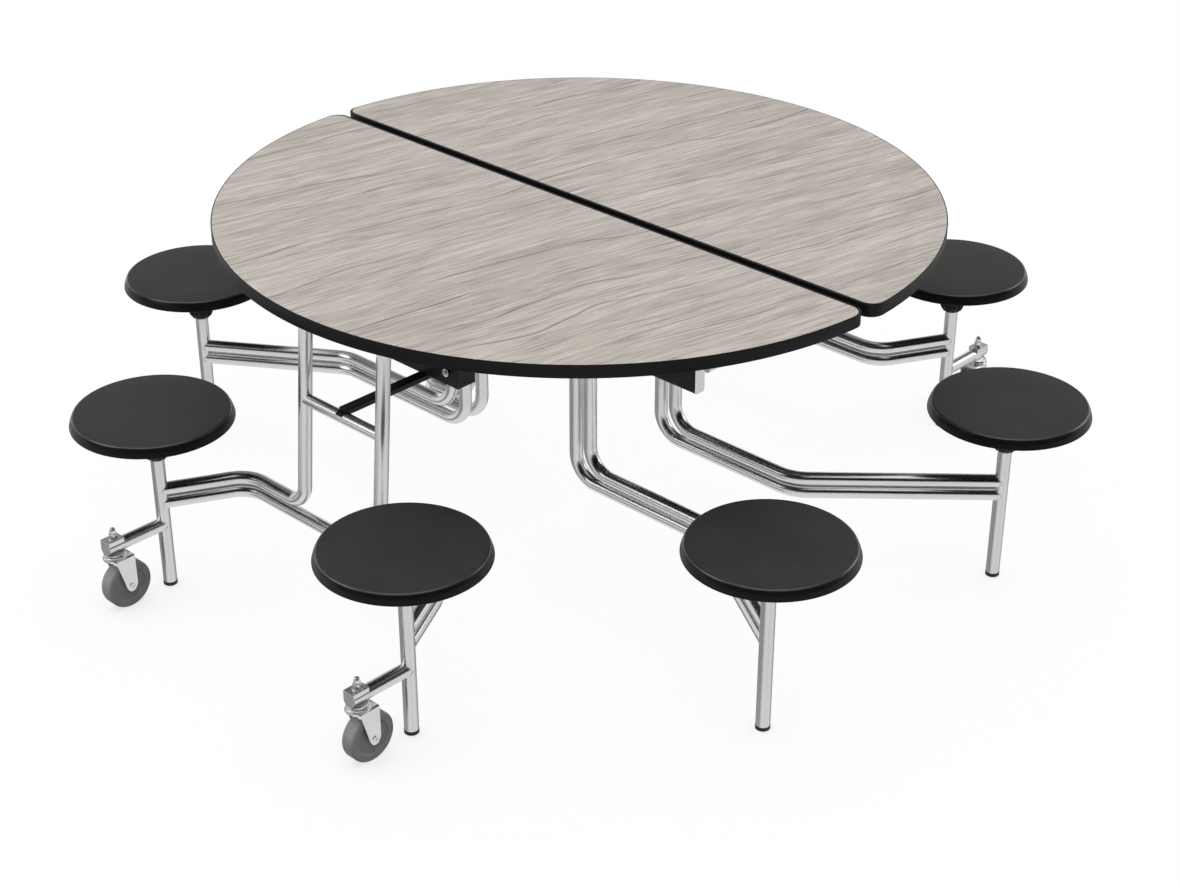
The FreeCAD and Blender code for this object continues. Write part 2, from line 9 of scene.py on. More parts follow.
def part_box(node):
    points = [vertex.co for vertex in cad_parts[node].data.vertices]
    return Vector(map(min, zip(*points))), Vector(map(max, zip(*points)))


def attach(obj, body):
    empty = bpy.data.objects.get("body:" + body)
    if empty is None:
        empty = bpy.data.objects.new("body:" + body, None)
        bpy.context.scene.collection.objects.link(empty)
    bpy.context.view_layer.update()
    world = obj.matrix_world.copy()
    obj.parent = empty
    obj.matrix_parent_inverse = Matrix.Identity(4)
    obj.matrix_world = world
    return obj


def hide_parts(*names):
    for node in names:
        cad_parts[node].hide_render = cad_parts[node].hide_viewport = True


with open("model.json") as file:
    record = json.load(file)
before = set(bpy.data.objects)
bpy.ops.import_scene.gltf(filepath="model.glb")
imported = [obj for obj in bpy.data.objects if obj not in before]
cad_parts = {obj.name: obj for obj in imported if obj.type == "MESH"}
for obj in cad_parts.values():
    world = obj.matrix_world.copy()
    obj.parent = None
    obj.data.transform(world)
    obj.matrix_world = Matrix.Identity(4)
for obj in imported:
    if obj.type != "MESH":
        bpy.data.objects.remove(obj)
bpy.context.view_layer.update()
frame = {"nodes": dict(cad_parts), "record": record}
print("frame loaded")


class Wire:
    # one output socket; sums of wires and numbers add Math nodes
    def __init__(self, sheet, socket):
        self.sheet, self.socket = sheet, socket

    def sum(self, operation, *values):
        return self.sheet.add("ShaderNodeMath", {"operation": operation}, dict(enumerate(values)))

    def other(self, output):
        # another output of the same node
        return Wire(self.sheet, self.socket.node.outputs[output])

    def __add__(self, other):
        return self.sum("ADD", self, other)

    def __sub__(self, other):
        return self.sum("SUBTRACT", self, other)

    def __mul__(self, other):
        return self.sum("MULTIPLY", self, other)

    def __truediv__(self, other):
        return self.sum("DIVIDE", self, other)

    def __rsub__(self, other):
        return self.sum("SUBTRACT", other, self)

    def __rtruediv__(self, other):
        return self.sum("DIVIDE", other, self)

    def __abs__(self):
        return self.sum("ABSOLUTE", self)

    __radd__, __rmul__ = __add__, __mul__


class Sheet:
    # a node tree that takes a node's type, its settings and the values or wires of its sockets
    def __init__(self, tree):
        self.tree = tree

    def add(self, kind, settings=None, sockets=None, output=0):
        node = self.tree.nodes.new(kind)
        for name, value in (settings or {}).items():
            if name == "stops":
                while len(node.color_ramp.elements) < len(value):
                    node.color_ramp.elements.new(0.5)
                for stop, (place, shade) in zip(node.color_ramp.elements, value):
                    stop.position = place
                    stop.color = grey(shade)
            else:
                setattr(node, name, value)
        for name, value in (sockets or {}).items():
            if isinstance(value, Wire):
                self.tree.links.new(value.socket, node.inputs[name])
            elif isinstance(value, list):
                for wire in value:
                    self.tree.links.new(wire.socket, node.inputs[name])
            else:
                node.inputs[name].default_value = value
        return Wire(self, node.outputs[output] if node.outputs else None)

    def noise(self, place, scale, detail=2, roughness=0.5, stretch=(1, 1, 1)):
        if stretch != (1, 1, 1):
            place = self.add("ShaderNodeMapping", {}, {"Vector": place, "Scale": stretch})
        return self.add("ShaderNodeTexNoise", {}, {"Vector": place, "Scale": scale, "Detail": detail,
                                                   "Roughness": roughness}, "Fac")

    def band(self, value, low, high, lowTone=0, highTone=1):
        return self.add("ShaderNodeMapRange", {"interpolation_type": "SMOOTHSTEP"}, {
            "Value": value, "From Min": low, "From Max": high, "To Min": lowTone, "To Max": highTone})

    def blend(self, share, first, second):
        return self.add("ShaderNodeMix", {"data_type": "RGBA"}, {0: share, 6: first, 7: second}, 2)

    def bump(self, height, strength, distance):
        return self.add("ShaderNodeBump", {}, {"Height": height, "Strength": strength, "Distance": distance})

    def vector(self, x=0, y=0, z=0):
        return self.add("ShaderNodeCombineXYZ", {}, {0: x, 1: y, 2: z})

    def place(self):
        return self.add("ShaderNodeTexCoord", output="Object")


def emptySheet(owner):
    owner.use_nodes = True
    owner.node_tree.nodes.clear()
    return Sheet(owner.node_tree)


def colour(red, green, blue):
    # screen tones of 0 to 255 as linear light
    return tuple(((tone / 255 + 0.055) / 1.055) ** 2.4 if tone > 10 else tone / 255 / 12.92
                 for tone in (red, green, blue)) + (1,)


def grey(tone):
    return (tone, tone, tone, 1)


def newFinish(name, build):
    material = bpy.data.materials.new(name)
    sheet = emptySheet(material)
    surface = sheet.add("ShaderNodeBsdfPrincipled", {}, build(sheet))
    sheet.add("ShaderNodeOutputMaterial", {}, {"Surface": surface})
    return material


def chromedTube(sheet):
    place = sheet.place()
    haze = sheet.noise(place, 9, 3)
    smears = sheet.noise(place, 60, 4, 0.6)
    tone = sheet.blend(haze, (0.80, 0.80, 0.805, 1), (0.90, 0.90, 0.905, 1))
    return {"Base Color": tone, "Metallic": 1, "Roughness": 0.23 + 0.03 * smears}


def zincFitting(sheet):
    place = sheet.place()
    cloud = sheet.noise(place, 35, 3)
    grain = sheet.noise(place, 900, 2)
    tone = sheet.blend(sheet.band(cloud, 0.3, 0.7), (0.92, 0.925, 0.93, 1), (0.96, 0.965, 0.97, 1))
    return {"Base Color": tone, "Metallic": 0.9, "Roughness": 0.19 + 0.06 * cloud,
            "Normal": sheet.bump(grain, 0.02, 0.00005)}


def plugGrey(sheet):
    grain = sheet.noise(sheet.place(), 300, 3)
    tone = sheet.blend(grain, colour(196, 197, 199), colour(208, 209, 211))
    return {"Base Color": tone, "Metallic": 0.75, "Roughness": 0.42 + 0.1 * grain}


def blackFrame(sheet):
    place = sheet.place()
    peel = sheet.noise(place, 650, 2)
    cloud = sheet.noise(place, 14, 3)
    tone = sheet.blend(cloud, (0.0085, 0.0085, 0.009, 1), (0.0135, 0.0135, 0.014, 1))
    return {"Base Color": tone, "Specular IOR Level": 0.3, "Roughness": 0.34 + 0.12 * cloud,
            "Normal": sheet.bump(peel, 0.25, 0.0003)}


def seatBlack(sheet):
    place = sheet.place()
    pebble = sheet.add("ShaderNodeTexVoronoi", {"feature": "SMOOTH_F1"}, {"Vector": place, "Scale": 620})
    cloud = sheet.noise(place, 11, 3)
    tone = sheet.blend(sheet.band(cloud, 0.3, 0.7), grey(0.036), grey(0.041))
    return {"Base Color": tone, "Specular IOR Level": 0.2, "Roughness": 0.44 + 0.08 * cloud,
            "Normal": sheet.bump(pebble, 0.12, 0.0003)}


def smoothBlackPaintedShade(sheet):
    # the seats' sides and undersides and the collars: a smooth black made darker than the tops, with shade
    # painted into its colour where less light falls
    place = sheet.place()
    cloud = sheet.noise(place, 16, 3)
    tone = sheet.blend(cloud, grey(0.0085), grey(0.0120))
    return {"Base Color": tone, "Specular IOR Level": 0.2, "Roughness": 0.26 + 0.08 * cloud,
            "Normal": sheet.bump(sheet.noise(place, 500, 2), 0.04, 0.0002)}


def glossyBlackPaintedHighlight(sheet):
    # the seats' top edge: a lighter and glossier black, a painted highlight along the rim
    place = sheet.place()
    highlightMottle = sheet.noise(place, 26, 4, 0.6)
    tone = sheet.blend(highlightMottle, grey(0.024), grey(0.036))
    return {"Base Color": tone, "Specular IOR Level": 1.0, "Roughness": 0.22 + 0.07 * highlightMottle,
            "Normal": sheet.bump(sheet.noise(place, 500, 2), 0.04, 0.0002)}


def edgeBlack(sheet):
    place = sheet.place()
    drawn = sheet.noise(place, 40, 3, 0.6, (1, 1, 14))
    tone = sheet.blend(drawn, grey(0.005), grey(0.010))
    return {"Base Color": tone, "Specular IOR Level": 0.2, "Roughness": 0.3 + 0.12 * drawn,
            "Normal": sheet.bump(drawn, 0.08, 0.0004)}


def glideBlack(sheet):
    grain = sheet.noise(sheet.place(), 260, 3)
    tone = sheet.blend(grain, grey(0.010), grey(0.019))
    return {"Base Color": tone, "Roughness": 0.42 + 0.12 * grain, "Normal": sheet.bump(grain, 0.1, 0.0003)}


def wheelGrey(sheet):
    place = sheet.place()
    cloud = sheet.noise(place, 45, 4, 0.6)
    grain = sheet.noise(place, 900, 2)
    tone = sheet.blend(sheet.band(cloud, 0.3, 0.75), colour(156, 156, 157), colour(170, 170, 171))
    return {"Base Color": tone, "Roughness": 0.5 + 0.12 * cloud, "Normal": sheet.bump(grain, 0.12, 0.0003)}


def backerSheet(sheet):
    place = sheet.place()
    fleck = sheet.noise(place, 210, 5, 0.7)
    cloud = sheet.noise(place, 6, 3)
    tone = sheet.blend(sheet.band(fleck, 0.35, 0.7), (0.012, 0.011, 0.0105, 1), (0.022, 0.0205, 0.019, 1))
    return {"Base Color": tone, "Roughness": 0.5 + 0.12 * cloud, "Normal": sheet.bump(fleck, 0.1, 0.0003)}


# streaks are (lengthwise, crosswise, detail, roughness, shift), layers (streaks, from, to, share, tone)
# and veins (pitch, sway, width, shift, share, tone)
woodGrain = {
    "turn": math.radians(11.5), "sway": 0.05, "ripple": 0.008,
    "streaks": {"broad": (1.0, 8, 3, 0.55, 0.0), "middle": (3.2, 46, 4, 0.62, 7.1),
                "fine": (9, 210, 4, 0.65, 3.3), "pores": (22, 560, 2, 0.5, 11.7)},
    "layers": [("middle", 0.5, 0.74, 0.85, (163, 155, 147)), ("middle", 0.5, 0.26, 0.8, (211, 205, 198)),
               ("fine", 0.5, 0.70, 0.85, (146, 138, 130)), ("fine", 0.5, 0.30, 0.7, (220, 214, 208)),
               ("pores", 0.62, 0.8, 0.4, (140, 132, 124))],
    "veins": [(0.058, 1.5, 0.06, 4.3, 0.5, (136, 131, 127)),
              (0.083, 1.9, 0.038, 12.6, 0.85, (108, 107, 112))],
}


def laminate(sheet):
    place = sheet.add("ShaderNodeMapping", {}, {"Vector": sheet.place(),
                                                "Rotation": (0, 0, woodGrain["turn"])})
    along = sheet.add("ShaderNodeSeparateXYZ", {}, {"Vector": place})
    across = along.other("Y")
    drift = sheet.noise(place, 1.4, 2, 0.5, (1, 2.2, 1))
    ripple = sheet.noise(place, 8, 2, 0.5, (1, 1.6, 1))
    swayed = across + woodGrain["sway"] * drift + woodGrain["ripple"] * ripple

    def streaks(lengthwise, crosswise, detail, roughness, shift):
        spot = sheet.vector(along * lengthwise + shift, swayed * crosswise)
        return sheet.noise(spot, 1, detail, roughness)

    def veins(pitch, sway, width, shift):
        # thin lines a pitch apart that wander with a slow noise and break off here and there
        spot = sheet.vector(along * 1.7 + shift, across * 2.6)
        path = swayed / pitch + sway * sheet.noise(spot, 1, 2, 0.45) + shift
        middle = abs(path.sum("FRACT", path) - 0.5)
        return sheet.band(middle, 0.0, width, 1, 0) * sheet.band(streaks(2.4, 10, 2, 0.5, shift), 0.42, 0.6)

    laid = {name: streaks(*values) for name, values in woodGrain["streaks"].items()}
    tone = sheet.blend(sheet.band(laid["broad"], 0.3, 0.7), colour(181, 173, 164), colour(198, 191, 182))
    for name, low, high, share, stain in woodGrain["layers"]:
        tone = sheet.blend(sheet.band(laid[name], low, high, 0, share), tone, colour(*stain))
    for pitch, sway, width, shift, share, stain in woodGrain["veins"]:
        tone = sheet.blend(veins(pitch, sway, width, shift) * share, tone, colour(*stain))
    return {"Base Color": tone, "Specular IOR Level": 0.14, "Roughness": 0.5 + 0.1 * laid["fine"],
            "Normal": sheet.bump(laid["fine"], 0.06, 0.0002)}


makers = (chromedTube, zincFitting, plugGrey, blackFrame, seatBlack, smoothBlackPaintedShade, glossyBlackPaintedHighlight, edgeBlack,
          glideBlack, wheelGrey, backerSheet, laminate)
finishes = {make.__name__: newFinish(make.__name__, make) for make in makers}
# the first finish of each slot is worn by the CAD nodes
finishesBySlot = {
    "chromed_tube": ["chromedTube"], "black_frame": ["blackFrame"], "zinc_fitting": ["zincFitting"],
    "seat_black": ["seatBlack", "smoothBlackPaintedShade", "glossyBlackPaintedHighlight"], "edge_black": ["edgeBlack"],
    "glide_black": ["glideBlack"], "board": ["backerSheet"], "laminate": ["laminate"],
    "wheel_grey": ["wheelGrey", "plugGrey"],
}
slotByNode = {row["node"]: row["material_slot"] for row in frame["record"]["subparts"]}
for name, item in frame["nodes"].items():
    item.data.materials.clear()
    item.data.materials.append(finishes[finishesBySlot[slotByNode[name]][0]])
print("finishes made:", len(finishes))


def rounded(corners, radius, steps=4, closed=False):
    # flat outline with each inner corner turned into an arc; radius is one value or one for each corner
    radii = radius if isinstance(radius, (list, tuple)) else [radius] * len(corners)
    path = []
    count = len(corners)
    for number, corner in enumerate(corners):
        if radii[number] == 0 or (not closed and number in (0, count - 1)):
            path.append(tuple(corner))
            continue
        here, before, after = (Vector(corners[i % count]) for i in (number, number - 1, number + 1))
        into, out = (here - before).normalized(), (after - here).normalized()
        turn = into.angle(out)
        if turn < 0.02:
            path.append(tuple(corner))
            continue
        back = min(radii[number] * math.tan(turn / 2), 0.49 * (here - before).length,
                   0.49 * (after - here).length)
        arc = back / math.tan(turn / 2)
        inward = (out - into).normalized()
        centre = here + inward * (arc / math.cos(turn / 2))
        first = here - into * back - centre
        sense = 1 if into.x * out.y - into.y * out.x > 0 else -1
        for step in range(steps + 1):
            angle = sense * turn * step / steps
            spot = Matrix.Rotation(angle, 2) @ first + centre
            path.append((spot.x, spot.y))
    return path


def smoothed(mesh, sharp=35):
    mesh.shade_smooth()
    mesh.set_sharp_from_angle(angle=math.radians(sharp))
    return mesh


def newObject(name, data):
    item = bpy.data.objects.new(name, data)
    bpy.context.scene.collection.objects.link(item)
    return item


def newPiece(name, mesh, body, tones, stands=()):
    # a finished piece: its finishes, the body that it rides on and the CAD nodes it stands for
    piece = newObject(name, mesh)
    if mesh.materials:
        mesh.materials.clear()
    for tone in tones:
        mesh.materials.append(finishes[tone])
    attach(piece, body)
    if stands:
        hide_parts(*stands)
    return piece


class Form:
    # collects the parts of one piece in one mesh
    def __init__(self):
        self.mesh = bmesh.new()

    def turned(self, profile, centre, axis=(0, 0, 1), steps=48, ring=False):
        # profile of (radius, along) turned about an axis; a ring profile closes on itself
        turn = Vector((0, 0, 1)).rotation_difference(Vector(axis)).to_matrix()
        angles = [2 * math.pi * i / steps for i in range(steps)]
        rows = [[self.mesh.verts.new(Vector(centre) + turn @ Vector((
            radius * math.cos(angle), radius * math.sin(angle), along)))
            for angle in (angles if radius else angles[:1])] for radius, along in profile]
        for low, high in zip(rows, rows[1:] + rows[:1] if ring else rows[1:]):
            for i in range(steps):
                j = (i + 1) % steps
                corners = [low[i % len(low)], low[j % len(low)], high[j % len(high)], high[i % len(high)]]
                unique = list(dict.fromkeys(corners))
                if len(unique) > 2:
                    self.mesh.faces.new(unique)

    def prism(self, outline, start, end, place=Matrix.Identity(4)):
        # flat outline in XY, raised from start to end, then put in place
        low, high = ([self.mesh.verts.new(place @ Vector((x, y, level))) for x, y in outline]
                     for level in (start, end))
        self.mesh.faces.new(low[::-1])
        self.mesh.faces.new(high)
        for i in range(len(outline)):
            j = (i + 1) % len(outline)
            self.mesh.faces.new((low[i], low[j], high[j], high[i]))

    def meshOf(self, name, sharp=35):
        bmesh.ops.recalc_face_normals(self.mesh, faces=self.mesh.faces)
        mesh = bpy.data.meshes.new(name)
        self.mesh.to_mesh(mesh)
        self.mesh.free()
        return smoothed(mesh, sharp)

    def piece(self, name, body, tones, stands=(), sharp=35):
        return newPiece(name, self.meshOf(name, sharp), body, tones, stands)


def flatMesh(outline, start, end, place=Matrix.Identity(4)):
    form = Form()
    form.prism(outline, start, end, place)
    return form.meshOf("part")


def bevelled(piece, width, angle=35):
    bevel = piece.modifiers.new("bevel", "BEVEL")
    bevel.width, bevel.segments, bevel.limit_method = width, 2, "ANGLE"
    bevel.angle_limit = math.radians(angle)
    bevel.use_clamp_overlap = True
    piece.modifiers.new("weighted", "WEIGHTED_NORMAL").keep_sharp = True


def softened(node, body, tone, width):
    # the CAD node's own form with its edges broken
    copy = bmesh.new()
    copy.from_mesh(frame["nodes"][node].data)
    bmesh.ops.remove_doubles(copy, verts=copy.verts, dist=1e-6)
    bmesh.ops.dissolve_limit(copy, angle_limit=math.radians(0.5), verts=copy.verts, edges=copy.edges)
    mesh = bpy.data.meshes.new(node + "_soft")
    copy.to_mesh(mesh)
    copy.free()
    bevelled(newPiece(node + "_soft", smoothed(mesh), body, [tone], [node]), width)


def plainMesh(holder):
    # the mesh that an object's modifiers make
    bpy.context.view_layer.update()
    return bpy.data.meshes.new_from_object(holder.evaluated_get(bpy.context.evaluated_depsgraph_get()))


def combined(base, *others, operation="INTERSECT"):
    # boolean of meshes, as one plain mesh
    holders = [newObject("holder", mesh) for mesh in (base, *others)]
    for other in holders[1:]:
        join = holders[0].modifiers.new("join", "BOOLEAN")
        join.operation, join.object, join.solver = operation, other, "EXACT"
    result = plainMesh(holders[0])
    for holder in holders:
        bpy.data.objects.remove(holder)
    return result


def newTree(name, inputs, build):
    # a geometry tree with named inputs; build gets the sheet and the inputs by name
    tree = bpy.data.node_groups.new(name, "GeometryNodeTree")
    tree.interface.new_socket(name="Geometry", in_out="INPUT", socket_type="NodeSocketGeometry")
    for label, kind in inputs.items():
        tree.interface.new_socket(name=label, in_out="INPUT", socket_type="NodeSocket" + kind)
    tree.interface.new_socket(name="Finish", in_out="INPUT", socket_type="NodeSocketMaterial")
    tree.interface.new_socket(name="Geometry", in_out="OUTPUT", socket_type="NodeSocketGeometry")
    sheet = Sheet(tree)
    entry = tree.nodes.new("NodeGroupInput")
    given = {label: Wire(sheet, entry.outputs[label]) for label in ("Geometry", "Finish", *inputs)}
    whole = sheet.add("GeometryNodeRealizeInstances", {}, {"Geometry": build(sheet, given)})
    painted = sheet.add("GeometryNodeSetMaterial", {}, {"Geometry": whole, "Material": given["Finish"]})
    sheet.add("NodeGroupOutput", {}, {"Geometry": painted})
    return tree


def grown(kind, name, points, edges, values, body, tone, stands=(), sharp=35):
    # runs a tree on a bare mesh of points and edges, and keeps its result as a plain piece
    seed = bpy.data.meshes.new(name)
    seed.from_pydata([tuple(point) for point in points], edges, [])
    holder = newObject("holder", seed)
    tree = trees[kind]
    modifier = holder.modifiers.new("grow", "NODES")
    modifier.node_group = tree
    sockets = {item.name: item.identifier for item in tree.interface.items_tree if item.in_out == "INPUT"}
    for label, value in {**values, "Finish": finishes[tone]}.items():
        modifier[sockets[label]] = value
    mesh = plainMesh(holder)
    bpy.data.objects.remove(holder)
    mesh.name = name
    newPiece(name, smoothed(mesh, sharp), body, [tone], stands)


def ringOf(sheet, given, rib, lean=0):
    # the rib, leaned and moved out, repeated round the axis of each point
    away = sheet.vector(given["Radius"], 0, given["Rise"])
    settled = sheet.add("GeometryNodeTransform", {}, {**rib, "Translation": away,
                                                      "Rotation": sheet.vector(0, lean)})
    spots = sheet.add("GeometryNodePoints", {}, {"Count": given["Count"], "Position": (0, 0, 0)})
    index = sheet.add("GeometryNodeInputIndex")
    spin = sheet.vector(0, 0, index * (2 * math.pi) / given["Count"])
    ring = sheet.add("GeometryNodeInstanceOnPoints", {}, {"Points": spots, "Instance": settled,
                                                          "Rotation": spin})
    return sheet.add("GeometryNodeInstanceOnPoints", {}, {"Points": given["Geometry"], "Instance": ring})


def fluteTree(sheet, given):
    ball = sheet.add("GeometryNodeMeshUVSphere", {}, {"Segments": 8, "Rings": 7, "Radius": 1.0})
    shape = sheet.vector(given["Width"], given["Width"], given["Length"])
    return ringOf(sheet, given, {"Geometry": ball, "Scale": shape}, given["Lean"])


def ribTree(sheet, given):
    shape = sheet.vector(given["Length"], given["Width"], given["Height"])
    return ringOf(sheet, given, {"Geometry": sheet.add("GeometryNodeMeshCube", {}, {"Size": shape})})


def screwTree(sheet, given):
    # a domed head on a thin flange, on each point
    dome = sheet.add("GeometryNodeMeshUVSphere", {}, {"Segments": 16, "Rings": 8, "Radius": 1.0})
    shape = sheet.vector(given["Radius"], given["Radius"], given["Height"])
    head = sheet.add("GeometryNodeTransform", {}, {"Geometry": dome, "Scale": shape})
    flange = sheet.add("GeometryNodeMeshCylinder", {}, {"Vertices": 18, "Radius": given["Radius"] * 1.18,
                                                        "Depth": given["Height"] * 0.5})
    both = sheet.add("GeometryNodeJoinGeometry", {}, {"Geometry": [head, flange]})
    return sheet.add("GeometryNodeInstanceOnPoints", {}, {"Points": given["Geometry"], "Instance": both})


def pathOf(sheet, given):
    return sheet.add("GeometryNodeMeshToCurve", {}, {"Mesh": given["Geometry"]})


def swept(sheet, path, profile, caps=False):
    return sheet.add("GeometryNodeCurveToMesh", {}, {"Curve": path, "Profile Curve": profile,
                                                     "Fill Caps": caps})


def bandTree(sheet, given):
    # a rounded strip that follows the outline it is given
    upright = sheet.add("GeometryNodeSetCurveNormal", {"mode": "Z_UP"}, {"Curve": pathOf(sheet, given)})
    strip = sheet.add("GeometryNodeCurvePrimitiveQuadrilateral", {}, {"Width": given["Width"],
                                                                      "Height": given["Height"]})
    soft = sheet.add("GeometryNodeFilletCurve", {"mode": "POLY"}, {"Curve": strip, "Radius": given["Corner"],
                                                                   "Count": 4})
    return swept(sheet, upright, soft)


def beadTree(sheet, given):
    # a weld bead with small ripples along the seam it is given
    index = sheet.add("GeometryNodeInputIndex")
    wave = index.sum("SINE", index * 1.7)
    swollen = sheet.add("GeometryNodeSetCurveRadius", {}, {"Curve": pathOf(sheet, given),
                                                           "Radius": 1 + 0.06 * wave})
    ring = sheet.add("GeometryNodeCurvePrimitiveCircle", {}, {"Resolution": 8, "Radius": given["Radius"]})
    return swept(sheet, swollen, ring)


def tubeTree(sheet, given):
    # a round tube along the path it is given
    ring = sheet.add("GeometryNodeCurvePrimitiveCircle", {}, {"Resolution": 48, "Radius": given["Radius"]})
    return swept(sheet, pathOf(sheet, given), ring, True)


around = {"Count": "Int", "Radius": "Float", "Rise": "Float", "Length": "Float", "Width": "Float"}
trees = {
    "flutes": newTree("flutes", {**around, "Lean": "Float"}, fluteTree),
    "ribs": newTree("ribs", {**around, "Height": "Float"}, ribTree),
    "screws": newTree("screws", {"Radius": "Float", "Height": "Float"}, screwTree),
    "band": newTree("band", {"Width": "Float", "Height": "Float", "Corner": "Float"}, bandTree),
    "bead": newTree("bead", {"Radius": "Float"}, beadTree),
    "tube": newTree("tube", {"Radius": "Float"}, tubeTree),
}

ringRadius, ringAngle = 0.930, math.radians(24)
outX, outY = ringRadius * math.cos(ringAngle), ringRadius * math.sin(ringAngle)
stools = {1: (-outY, outX), 2: (-outX, outY), 3: (-outX, -outY), 4: (-outY, -outX),
          5: (outY, -outX), 6: (outX, -outY), 7: (outX, outY), 8: (outY, outX)}
frames = {"near": (2, 3), "far": (6, 7), "centre": (1, 4, 5, 8)}
bodyOfFrame = {"near": "near_legs", "far": "far_legs", "centre": "centre_frame"}
sideOf = {"near": -1, "far": 1}

# under is the profile from the rim inwards, as (radius, depth below the top, radius of the corner)
seat = {
    "top": 0.413, "flat": 0.100, "shoulder": 0.1585, "edge": 0.0055, "steps": 128,
    "under": [(0.1630, 0.010, 0.02), (0.166, 0.0200, 0.0010), (0.166, 0.022, 0.0008),
              (0.1618, 0.022, 0.0010), (0.1575, 0.0085, 0.004), (0.060, 0.0075, 0.004),
              (0.0465, 0.0187, 0.002), (0.009, 0.0187, 0), (0.009, 0.060, 0), (0, 0.062, 0)],
    # faces down to this depth and out past this radius form the rim band with the painted highlight
    "plain": 0.0001, "paintedHighlightDepth": 0.0036, "paintedHighlightFrom": 0.1545,
    "ribs": {"Count": 12, "Radius": 0.104, "Length": 0.110, "Width": 0.0024, "Height": 0.0085},
    "ribDepth": 0.0115,
}


def makeSeat(number):
    top, spot, body = seat["top"], (*stools[number], 0), f"stool_seat_{number}"
    under = [(radius, top - depth) for radius, depth, corner in seat["under"]]
    radii = [corner for radius, depth, corner in seat["under"]]
    edge = rounded([(seat["flat"], top), (seat["shoulder"], top), under[0]], seat["edge"], 6)
    form = Form()
    form.turned([(0, top), *edge[:-1], *rounded([edge[-2], *under], [0, *radii], 5)[1:]], spot,
                steps=seat["steps"])
    # the top faces get the seat's black, a thin band round the top edge the lighter black with the painted
    # highlight, and the rest the darker black with painted shade
    for face in form.mesh.faces:
        middle = face.calc_center_median()
        drop, reach = top - middle.z, (middle - Vector(spot)).xy.length
        if drop < seat["plain"]:
            face.material_index = 0
        else:
            face.material_index = 2 if drop < seat["paintedHighlightDepth"] and reach > seat["paintedHighlightFrom"] else 1
    form.piece(f"stool_top_{number}", body, ["seatBlack", "smoothBlackPaintedShade", "glossyBlackPaintedHighlight"],
               [f"seat_{number}"], 40)
    # the ribs under the seat wear the darker black with painted shade
    grown("ribs", f"stool_top_ribs_{number}", [spot], [], {**seat["ribs"], "Rise": top - seat["ribDepth"]},
          body, "smoothBlackPaintedShade")


for number in stools:
    makeSeat(number)

# profiles are (radius, height)
collar = {
    "profile": [(0.0125, 0.3015), (0.0163, 0.3020), (0.0172, 0.3030), (0.0238, 0.3140), (0.0252, 0.3180),
                (0.0256, 0.3300), (0.0290, 0.3938), (0.0125, 0.3938)],
    "flutes": {"Count": 14, "Radius": 0.0226, "Rise": 0.3115, "Length": 0.0098, "Width": 0.0027,
               "Lean": math.atan2(0.0066, 0.0120)},
    "ribs": {"Count": 14, "Radius": 0.0262, "Rise": 0.3400, "Length": 0.0250, "Width": 0.0025,
             "Lean": math.atan2(0.0034, 0.0638)},
}
glide = {
    "tall": 0.0095, "corners": [0, 0.001, 0.001, 0.0005, 0, 0, 0],
    "profile": [(0, 0), (0.0128, 0), (0.0148, 0.0016), (0.0148, 0.0095), (0.0122, 0.0095), (0.0122, 0.020),
                (0, 0.020)],
}


def makeCollars(part):
    body, spots = bodyOfFrame[part], [(*stools[number], 0) for number in frames[part]]
    collars, glides = Form(), Form()
    for spot in spots:
        collars.turned(collar["profile"], spot, ring=True)
        glides.turned(rounded(glide["profile"], glide["corners"]), spot, steps=40)
    # the collars wear the darker black with painted shade
    collars.piece(f"{part}_collars", body, ["smoothBlackPaintedShade"], [f"{part}_seat_sockets"])
    for name in ("flutes", "ribs"):
        grown("flutes", f"{part}_collar_{name}", spots, [], collar[name], body, "smoothBlackPaintedShade")
    glides.piece(f"{part}_glides", body, ["glideBlack"], [f"{part}_foot_glides"])


for part in frames:
    makeCollars(part)
print("stools made")


def bentPath(points, bends):
    # straight runs joined by tangent arcs
    points = [Vector(point) for point in points]
    path = [points[0]]
    for corner, before, after, radius in zip(points[1:-1], points, points[2:], bends):
        into, out = (corner - before).normalized(), (after - corner).normalized()
        turn = into.angle(out)
        inward = (out - into).normalized()
        centre = corner + inward * (radius / math.cos(turn / 2))
        first = corner - into * (radius * math.tan(turn / 2)) - centre
        steps = max(3, round(turn / math.radians(3)))
        path += [centre + Matrix.Rotation(turn * step / steps, 3, into.cross(out)) @ first
                 for step in range(steps + 1)]
    return path + [points[-1]]


def chained(paths, closed=False):
    # the points of all paths, and the edges along each
    points, edges = [], []
    for path in paths:
        start, count = len(points), len(path)
        points += path
        edges += [(start + i, start + (i + 1) % count) for i in range(count if closed else count - 1)]
    return points, edges


tube = {"radius": 0.0143, "cross": 0.0127, "upper": 0.228, "lower": 0.198, "postTop": 0.3025, "bead": 0.0010,
        "beadSteps": 44}


def makeTubes(name, paths, body, stands, radius=tube["radius"]):
    grown("tube", name, *chained(paths), {"Radius": radius}, body, "chromedTube", stands)


def makeBeads(part, seams):
    # a bead round the line where each level tube runs into an upright one
    radius, loops = tube["radius"], []
    for centre, towards in seams:
        heading = Vector((towards[0] - centre[0], towards[1] - centre[1], 0)).normalized()
        side = Vector((-heading.y, heading.x, 0))
        angles = [2 * math.pi * step / tube["beadSteps"] for step in range(tube["beadSteps"])]
        loops.append([Vector(centre) + heading * radius * abs(math.cos(angle))
                      + side * radius * math.sin(angle) + Vector((0, 0, radius * math.cos(angle)))
                      for angle in angles])
    grown("bead", f"{part}_weld_beads", *chained(loops, True), {"Radius": tube["bead"]}, bodyOfFrame[part],
          "chromedTube", sharp=80)


